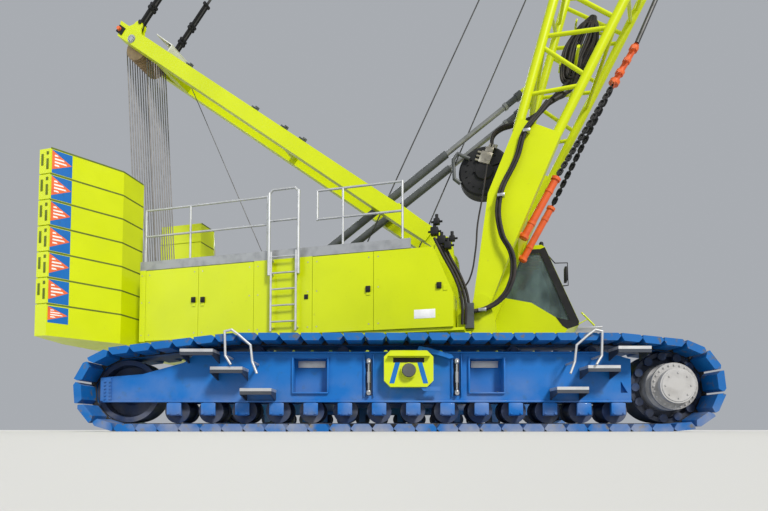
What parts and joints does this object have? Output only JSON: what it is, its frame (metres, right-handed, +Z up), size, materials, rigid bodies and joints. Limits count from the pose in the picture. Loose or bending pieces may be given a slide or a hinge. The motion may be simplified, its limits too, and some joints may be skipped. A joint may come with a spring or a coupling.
{
  "type": "crawler crane",
  "caption": "Battery-electric crawler crane with a lattice boom, live gantry, stacked counterweight, side houses, tilting cab and fixed tracks.",
  "frame": {"origin": "the slew axis at ground level, under the middle of the slewing ring", "axes": "+Z up along the slew axis; +X along the tracks towards the sprockets; +Y to the crane's left"},
  "size_m": [20.3821, 8.1154, 32.2529],
  "materials": {
    "blue_paint": "semi-gloss",
    "lime_paint": "semi-gloss",
    "track_paint": "worn",
    "drive_grey": "satin",
    "galvanised": "dull",
    "machined_steel": "satin",
    "sheave_tan": "matte",
    "winch_grey": "satin",
    "battery_grey": "satin",
    "clear_glass": "clear",
    "seat_black": "matte",
    "chain_orange": "semi-gloss",
    "stay_steel": "dull",
    "rod_chrome": "polished"
  },
  "bodies": {
    "undercarriage": {"car_body": "blue_paint", "slew_ring": "machined_steel", "side_frame_right": "blue_paint", "side_frame_left": "blue_paint", "track_right": "track_paint", "track_left": "track_paint", "idlers": "blue_paint", "drives": "drive_grey", "rollers": "blue_paint", "steps": "galvanised", "charging_inlet": "lime_paint"},
    "upper": {"slewing_frame": "lime_paint", "right_house": "lime_paint", "left_house": "lime_paint", "battery_block": "battery_grey", "winches": "winch_grey", "catwalk": "galvanised", "railings": "galvanised", "ladder": "galvanised", "counterweight_base": "lime_paint", "counterweight_slabs": "lime_paint", "luffing_block": "sheave_tan", "cab_support": "lime_paint", "hose_bracket": "lime_paint", "gantry_cylinders": "winch_grey"},
    "door_a": {"door_a": "lime_paint"},
    "door_b": {"door_b": "lime_paint"},
    "door_d": {"door_d": "lime_paint"},
    "door_e": {"door_e": "lime_paint"},
    "cab": {"cab_shell": "lime_paint", "cab_glass": "clear_glass", "cab_seat": "seat_black"},
    "cab_door": {"cab_door": "lime_paint", "cab_door_glass": "clear_glass"},
    "boom": {"boom_foot": "lime_paint", "boom_insert": "lime_paint", "boom_head": "lime_paint", "head_sheaves": "sheave_tan", "boom_winch": "winch_grey", "tie_back": "chain_orange", "pendants": "stay_steel"},
    "gantry": {"a_frame": "lime_paint", "gantry_sheaves": "sheave_tan"},
    "backstop_tubes": {"backstop_tubes": "winch_grey"},
    "backstop_rods": {"backstop_rods": "rod_chrome"}
  },
  "joints": [
    {"name": "slew", "type": "hinge", "parent": "undercarriage", "child": "upper", "pos_m": [0, 0, 1.42], "axis": [0, 0, 1], "continuous": true},
    {"name": "door_a_hinge", "type": "hinge", "parent": "upper", "child": "door_a", "pos_m": [-5.07464, -0.28067, 2.55], "axis": [0, 0, -1], "range_deg": [0, 100]},
    {"name": "door_b_hinge", "type": "hinge", "parent": "upper", "child": "door_b", "pos_m": [-2.72458, -0.86661, 2.55], "axis": [0, 0, 1], "range_deg": [0, 100]},
    {"name": "door_d_hinge", "type": "hinge", "parent": "upper", "child": "door_d", "pos_m": [-1.54276, -1.16127, 2.55], "axis": [0, 0, -1], "range_deg": [0, 100]},
    {"name": "door_e_hinge", "type": "hinge", "parent": "upper", "child": "door_e", "pos_m": [-0.38811, -1.44915, 2.55], "axis": [0, 0, -1], "range_deg": [0, 100]},
    {"name": "cab_tilt", "type": "hinge", "parent": "upper", "child": "cab", "pos_m": [2.20153, 1.10008, 1.8], "axis": [-0.2419, -0.9703, 0], "range_deg": [0, 20]},
    {"name": "cab_door_slide", "type": "slide", "parent": "cab", "child": "cab_door", "axis": [-0.9703, 0.2419, 0], "range_m": [0, 0.75]},
    {"name": "boom_luff", "type": "hinge", "parent": "upper", "child": "boom", "pos_m": [1.81445, -0.45239, 2.33], "axis": [-0.2419, -0.9703, 0], "range_deg": [-54, 17]},
    {"name": "gantry_pivot", "type": "hinge", "parent": "upper", "child": "gantry", "pos_m": [1.11584, -0.27821, 3.6], "axis": [-0.2419, -0.9703, 0], "range_deg": [-62.2, 19.6]},
    {"name": "backstop_pivot", "type": "hinge", "parent": "upper", "child": "backstop_tubes", "pos_m": [-2.42574, 0.6048, 3.05], "axis": [-0.2419, -0.9703, 0], "range_deg": [-25.9, 8.2]},
    {"name": "backstop_slide", "type": "slide", "parent": "backstop_tubes", "child": "backstop_rods", "axis": [0.7987, -0.1991, 0.5678], "range_m": [-0.76, 2.41]}
  ],
  "couplings": [
    {"joint": "gantry_pivot", "follows": "boom_luff", "ratio": 1.15},
    {"joint": "backstop_pivot", "follows": "boom_luff", "ratio": 0.479},
    {"joint": "backstop_slide", "follows": "boom_luff", "m_per_rad": -2.55}
  ]
}
